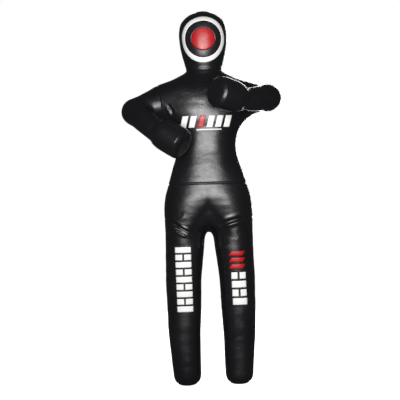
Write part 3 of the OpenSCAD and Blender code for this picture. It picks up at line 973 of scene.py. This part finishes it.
def patch(place, u_values, v_values, closed=False, filled=False):
    """Vertices and faces of a thin film: place(u, v, lift) over a grid, its edges turned in.

    A closed film runs round in u, and a filled one has one face in place of its hole.
    """
    rows = [(v_values[0], -FILM_EDGE), *((v, FILM) for v in v_values),
            (v_values[-1], -FILM_EDGE)]
    columns = [(u, True) for u in u_values]
    if not closed:
        columns = [(u_values[0], False)] + columns + [(u_values[-1], False)]
    verts = [place(u, v, lift if inside else -FILM_EDGE)
             for v, lift in rows for u, inside in columns]
    n = len(columns)
    faces = []
    for j in range(len(rows) - 1):
        for i in range(n if closed else n - 1):
            k = (i + 1) % n
            faces.append((j * n + i, j * n + k, (j + 1) * n + k, (j + 1) * n + i))
    if filled:
        verts, faces = verts[n:], [[i - n for i in f] for f in faces[n:]]
        faces.append(list(reversed(range(n))))
    return verts, faces


def film_object(name, patches):
    """One object of several (vertices, faces)"""
    verts, faces = [], []
    for v, f in patches:
        faces += [[i + len(verts) for i in face] for face in f]
        verts += v
    obj = mesh_object(name, verts, faces)
    add_rest(obj, verts)
    return obj


def steps(low, high):
    return np.linspace(low, high, max(int(round(abs(high - low) / FILM_STEP)), 1) + 1)


def block(surface, x, z, width, height, slant=0.0):
    """A printed parallelogram on the front; slant moves its top sideways."""
    def place(u, v, lift):
        return surface.front(x + u + slant * v / height, z + v, lift)
    return patch(place, steps(-width / 2, width / 2), steps(-height / 2, height / 2))


def target_patch(surface, inner, outer):
    """A disc or ring on the face, its radii measured along the leather."""
    head_r = HEAD[:, 1].max()

    def place(turn, r, lift):
        across, up = TARGET_WIDE * r * math.sin(turn), TARGET_HIGH * r * math.cos(turn)
        return surface.round_head(across / head_r, TARGET_Z + up, lift)

    turns = np.linspace(0, 2 * math.pi, 96, endpoint=False)
    if inner:
        return patch(place, turns, steps(inner, outer), closed=True)
    return patch(place, turns, steps(0.003, outer), closed=True, filled=True)


# --- Putting it together ---

def add_piece(name, obj, material, slot, bodies, start=None, end=None, nodes=(), fill=None):
    """Moves a finished piece to its place, gives it its material and hides the CAD nodes it
    stands for; one that follows a single body is parented to it.
    """
    obj.name = name
    obj.data.materials.append(material)
    obj.data.transform(Matrix.Translation(MID))
    if len(bodies) == 1:
        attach(obj, bodies[0])
    else:
        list(bodies)
        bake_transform(obj)
    if nodes:
        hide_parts(*nodes)


def upright(low, high):
    return Vector((0, 0, low)), Vector((0, 0, high))


# Where each bend starts and ends. Those of the arm are measured from the joint.
NECK_BEND = upright(1.270, 1.345)
WAIST_BEND = upright(0.740, 0.930)
KNEE_BEND = upright(LEG_CUT_Z - 0.002, 0.262)
SHOULDER_BEND = {RIGHT: (0.036, 0.070), LEFT: (0.044, 0.080)}
ELBOW_BEND = (-0.005, 0.040)
WRIST_BEND = (-0.020, 0.020)
HIP_X = 0.096  # middle of the thigh at the hip
HIP_BEND_LENGTH = 0.185


def hip_bend(side):
    start = Vector((side * HIP_X, 0, CROTCH_LINE + HIP_X * math.tan(HIP_SLOPE)))
    return start, start + HIP_BEND_LENGTH * hip_normal(side)


def along(joint, way, ends):
    return [joint + distance * way for distance in ends]


def arm_bends(side):
    """Start and end of the shoulder's, the elbow's and the wrist's bend."""
    into, out, hand = arm_axes(side)
    return (along(SHOULDER[side], into, SHOULDER_BEND[side]),
            along(ELBOW[side], across_elbow(side), ELBOW_BEND),
            along(WRIST[side], (out + hand).normalized(), WRIST_BEND))


def trunk_pieces():
    """name, seed, bodies, where the bend runs, CAD nodes it stands for"""
    head = ("torso", "head"), *NECK_BEND
    trunk = ("pelvis", "torso"), *WAIST_BEND
    return [
        ("hood_face", (0, -0.095, 1.40), *head, ("face_panel", "head_filling", "neck_gusset")),
        ("hood_back", (0, 0.095, 1.40), *head, ("head_back_panel",)),
        ("chest_cover", (0, -0.10, 1.05), *trunk,
         ("chest_panel", "torso_filling", "waist_gusset")),
        ("back_cover_left", (0.07, 0.10, 1.00), *trunk, ("back_panel_left",)),
        ("back_cover_right", (-0.07, 0.10, 1.00), *trunk, ("back_panel_right",)),
        ("pelvis_front_cover", (0, -0.10, 0.75), *trunk,
         ("pelvis_front_panel", "pelvis_filling")),
        ("pelvis_back_cover", (0, 0.10, 0.75), *trunk, ("pelvis_back_panel",)),
    ]


def limb_pieces(side):
    """The same for one arm and one leg"""
    name = SIDES[side]
    into, out, hand = arm_axes(side)
    shoulder_bend, elbow_bend, wrist_bend = arm_bends(side)

    def own(part):
        return f"{name}_{part}"

    def nodes(*parts):
        return tuple(own(part) for part in parts)

    # seeds on the outside of the arm
    outward = (into - out).normalized()
    upper = SHOULDER[side] + 0.06 * into + 0.055 * outward
    fore = ELBOW[side] + 0.05 * outward
    fist = WRIST[side] + 0.09 * hand + 0.06 * into
    return [
        (f"{name}_thigh", (side * 0.10, -0.08, 0.55), ("pelvis", own("thigh")),
         *hip_bend(side), nodes("hip_gusset", "thigh_cover", "thigh_filling")),
        (f"{name}_shin", (side * 0.11, -0.07, 0.25), (own("thigh"), own("shin")),
         *KNEE_BEND, nodes("knee_gusset", "shin_cover", "shin_filling")),
        (f"{name}_foot_sole", (side * 0.106, 0, 0), (own("shin"),),
         None, None, nodes("sole")),
        (f"{name}_sleeve", upper, ("torso", own("upper_arm")),
         *shoulder_bend, nodes("upper_arm_sleeve", "upper_arm_filling")),
        (f"{name}_forearm_cover", fore, (own("upper_arm"), own("forearm")),
         *elbow_bend, nodes("elbow_gusset", "forearm_sleeve", "forearm_filling")),
        (f"{name}_fist", fist, (own("forearm"), own("hand")),
         *wrist_bend, nodes("wrist_gusset", "hand_cover", "hand_filling")),
        (f"{name}_fist_end", FIST_END[side], (own("hand"),),
         None, None, nodes("hand_end_panel")),
    ]


ZIP_GAPS = {f"zip_gap_{n}": (s * ZIP_SLOT / 2, 0.1, (ZIP_LOW + ZIP_HIGH) / 2)
            for s, n in ((LEFT, "left"), (RIGHT, "right"))}


def stuffed_skin():
    skin = make_skin()
    inflate(skin)
    subdivide(skin)
    return skin


def crotch_height(obj):
    """Lowest point of the skin between the legs"""
    x, y, z = points_of(obj).T
    return z[(abs(x) < 0.004) & (abs(y) < 0.03) & (z > 0.5) & (z < 0.75)].min()


skin = stuffed_skin()
CROTCH_LINE = float(crotch_height(skin)) - HIP_DROP
cutter = Cutter(skin)
cut_panels(cutter, CROTCH_LINE + HIP_DROP)
pieces = trunk_pieces() + limb_pieces(RIGHT) + limb_pieces(LEFT)
panels = cutter.panels({**{row[0]: row[1] for row in pieces}, **ZIP_GAPS})
shape_seams(cutter)
for face in fold_slot_edges(cutter, panels.pop("zip_gap_left") + panels.pop("zip_gap_right")):
    on_left = face.calc_center_median().x > 0
    panels["back_cover_left" if on_left else "back_cover_right"].append(face)
cutter.bm.normal_update()
bpy.data.objects.remove(skin)

leather = leather_material("black_leather", (0.25, 0.37), FINE_GRAIN)
sole_leather = leather_material("sole_leather", (0.5, 0.66), SOLE_GRAIN)
for name, seed, bodies, start, end, nodes in pieces:
    add_piece(name, piece_from_faces(name, panels[name]),
              sole_leather if name.endswith("sole") else leather,
              "leather", bodies, start, end, nodes, fill=0.9)

# --- Prints ---

PRINTED = ("hood_face", "chest_cover", "right_thigh", "left_thigh", "right_shin", "left_shin")
surface = Surface([f for name in PRINTED for f in panels[name]])
white_ink = print_material("white_ink", (0.80, 0.80, 0.79), (0.55, 0.55, 0.55))
red_ink = print_material("red_ink", (0.40, 0.004, 0.007), (0.28, 0.004, 0.006))
black_ink = print_material("black_ink", (0.012, 0.009, 0.010), (0.02, 0.018, 0.018))

for name, inner, outer, ink, slot, cad_name in (
        ("target_dark_field", 0.0464, 0.0771, black_ink, "black_print", "target_field"),
        ("target_white_ring", 0.077, 0.098, white_ink, "white_print", "target_ring"),
        ("target_red_disc", 0, 0.0465, red_ink, "red_print", "target_bullseye")):
    add_piece(name, film_object(name, [target_patch(surface, inner, outer)]), ink, slot,
              ("torso", "head"), *NECK_BEND, (cad_name,))


def chest_bar(x):
    return block(surface, x, z=1.066, width=0.024, height=0.046, slant=0.012)


def chest_print():
    """Slanted bars, one of them red, and a thin line below: a generic sports mark."""
    white = [chest_bar(x) for x in (-0.086, -0.052, 0.020, 0.054, 0.088)]
    white.append(block(surface, x=0.012, z=1.034, width=0.100, height=0.005))
    return white, [chest_bar(-0.016)]


def bar_column(x, low, high, width, count, gap, lean):
    """Printed bars down a leg, every second one split in two."""
    pitch = (high - low) / count
    part = (width - gap) / 2
    bars = []
    for i in range(count):
        z = low + (i + 0.5) * pitch
        middle = x + lean * (z - low)
        if i % 2:
            for side in SIDES:
                bars.append((middle + side * (part + gap) / 2, z, part, pitch - gap))
        else:
            bars.append((middle, z, width, pitch - gap))
    return bars


RIGHT_BARS = bar_column(x=-0.105, low=0.303, high=0.571, width=0.064, count=9, gap=0.007,
                        lean=-0.01)
LEFT_BARS = bar_column(x=0.116, low=0.325, high=0.464, width=0.058, count=4, gap=0.008,
                       lean=-0.03)
# x, z, width and height of each
LEFT_RED = [(0.108, z, 0.056, 0.018) for z in (0.484, 0.510, 0.536)]


def leg_print(name, side, bars, ink, slot, slant=0.0):
    """Bars on the thigh's cover make one film, and those on the shin's another."""
    thigh, shin = f"{SIDES[side]}_thigh", f"{SIDES[side]}_shin"
    for part, bodies, bend, group in (
            ("upper", ("pelvis", thigh), hip_bend(side), [b for b in bars if b[1] > LEG_CUT_Z]),
            ("lower", (thigh, shin), KNEE_BEND, [b for b in bars if b[1] <= LEG_CUT_Z])):
        if group:
            film = film_object(name, [block(surface, *b, slant) for b in group])
            add_piece(f"{name}_{part}", film, ink, slot, bodies, *bend)


leg_print("right_leg_bars", RIGHT, RIGHT_BARS, white_ink, "white_print")
leg_print("left_leg_bars", LEFT, LEFT_BARS, white_ink, "white_print")
leg_print("left_leg_flash", LEFT, LEFT_RED, red_ink, "red_print", slant=0.010)
white_marks, red_marks = chest_print()
for name, marks, ink, slot in (("chest_bars", white_marks, white_ink, "white_print"),
                               ("chest_flash", red_marks, red_ink, "red_print")):
    add_piece(name, film_object(name, marks), ink, slot, ("pelvis", "torso"), *WAIST_BEND)

# --- Zip ---

STITCH = 0.0032  # length of one stitch
STITCH_PITCH = 0.0046
STITCH_X = 0.0135  # the rows of stitches that hold the tapes
THREAD_R = 0.00055
THREAD_SIDES = 6
# share of the stitch's length, share of the thread's radius
SPINDLE = [(0, 0.35), (0.25, 1), (0.75, 1), (1, 0.35)]


def stitch_row(place, x, low, high):
    """Vertices and faces of short spindles of thread, one after the other up a line."""
    verts, faces = [], []
    corners = range(THREAD_SIDES)
    for z in np.arange(low, high, STITCH_PITCH):
        first = len(verts)
        for share, size in SPINDLE:
            for k in corners:
                turn = 2 * math.pi * k / THREAD_SIDES
                verts.append(place(x + THREAD_R * size * math.cos(turn), z + share * STITCH,
                                   THREAD_R * size * math.sin(turn)))
        last = len(verts) - THREAD_SIDES
        for ring in range(first, last, THREAD_SIDES):
            for k in corners:
                a, b = ring + k, ring + (k + 1) % THREAD_SIDES
                faces.append([a, a + THREAD_SIDES, b + THREAD_SIDES, b])
        faces.append([first + k for k in corners])
        faces.append([last + k for k in reversed(corners)])
    return verts, faces


def thread_material():
    """Twisted black polyester thread."""
    mat, tree, shader = new_material("black_thread", (0.02, 0.02, 0.022), 0.5)
    twist = wave_at(tree, rest_coords(tree), "DIAGONAL", 900.0, 0.4)
    tree.links.new(mix_color(tree, twist, (0.010, 0.010, 0.011), (0.045, 0.045, 0.048)),
                   shader.inputs["Base Color"])
    bumps(tree, shader, [(twist, 0.5, 0.0002)])
    return mat


back_surface = Surface(panels["back_cover_left"] + panels["back_cover_right"])
rows = [stitch_row(back_surface.back, side * STITCH_X, ZIP_LOW, ZIP_HIGH - STITCH)
        for side in SIDES]
add_piece("zip_stitches", film_object("zip_stitches", rows), thread_material(), "zip_tape",
          ("pelvis", "torso"), *WAIST_BEND)

tape, metal = tape_material(), metal_material()
for name, obj in frame["nodes"].items():
    if name.startswith("zip_"):
        finish = tape if "tape" in name else metal
        for slot in obj.material_slots:
            slot.material = finish

# --- Stage, lights and camera ---

bpy.ops.mesh.primitive_plane_add(size=80, location=(0, 0, -0.0005))
floor = bpy.context.object
floor.name = "floor"
floor.data.materials.append(floor_material())
# its glow is seen by the camera only, and neither lights the dummy nor shows in its gloss
floor.visible_glossy = False
floor.visible_diffuse = False


def softbox(name, location, target, width, height, power):
    data = bpy.data.lights.new(name, "AREA")
    data.shape = "RECTANGLE"
    data.size = width
    data.size_y = height
    data.energy = power
    obj = linked_object(name, data)
    obj.location = location
    obj.rotation_euler = (Vector(target) - Vector(location)).to_track_quat("-Z", "Y").to_euler()


softbox("front_softbox", location=(-0.02, -2.1, 0.99), target=(0.0, 0.0, 0.99),
        width=1.5, height=0.86, power=70)
softbox("back_softbox", location=(0.5, 2.6, 1.45), target=(0.0, 0.1, 0.9),
        width=1.3, height=1.7, power=60)

world = bpy.data.worlds.new("studio")
bpy.context.scene.world = world
world.use_nodes = True
world_tree = world.node_tree
background = world_tree.nodes["Background"]
background.inputs["Color"].default_value = (1, 1, 1, 1)
# a white backdrop for the camera, which lights the dummy only faintly
UNSEEN_SKY = 0.06
seen = node(world_tree, "ShaderNodeLightPath").outputs["Is Camera Ray"]
world_tree.links.new(ramp(world_tree, seen, 0, 1, UNSEEN_SKY, 1.0),
                     background.inputs["Strength"])

camera_data = bpy.data.cameras.new("camera")
camera_data.lens = 88.2
camera_data.sensor_width = 36
camera = linked_object("camera", camera_data)
camera.location = (-0.0136, -3.8895, 0.754)
roll = math.radians(-1.82)  # the photograph leans this much
camera.rotation_euler = (Matrix.Rotation(math.radians(90), 3, "X")
                         @ Matrix.Rotation(roll, 3, "Z")).to_euler()
bpy.context.scene.camera = camera
bpy.context.scene.view_settings.view_transform = "Standard"
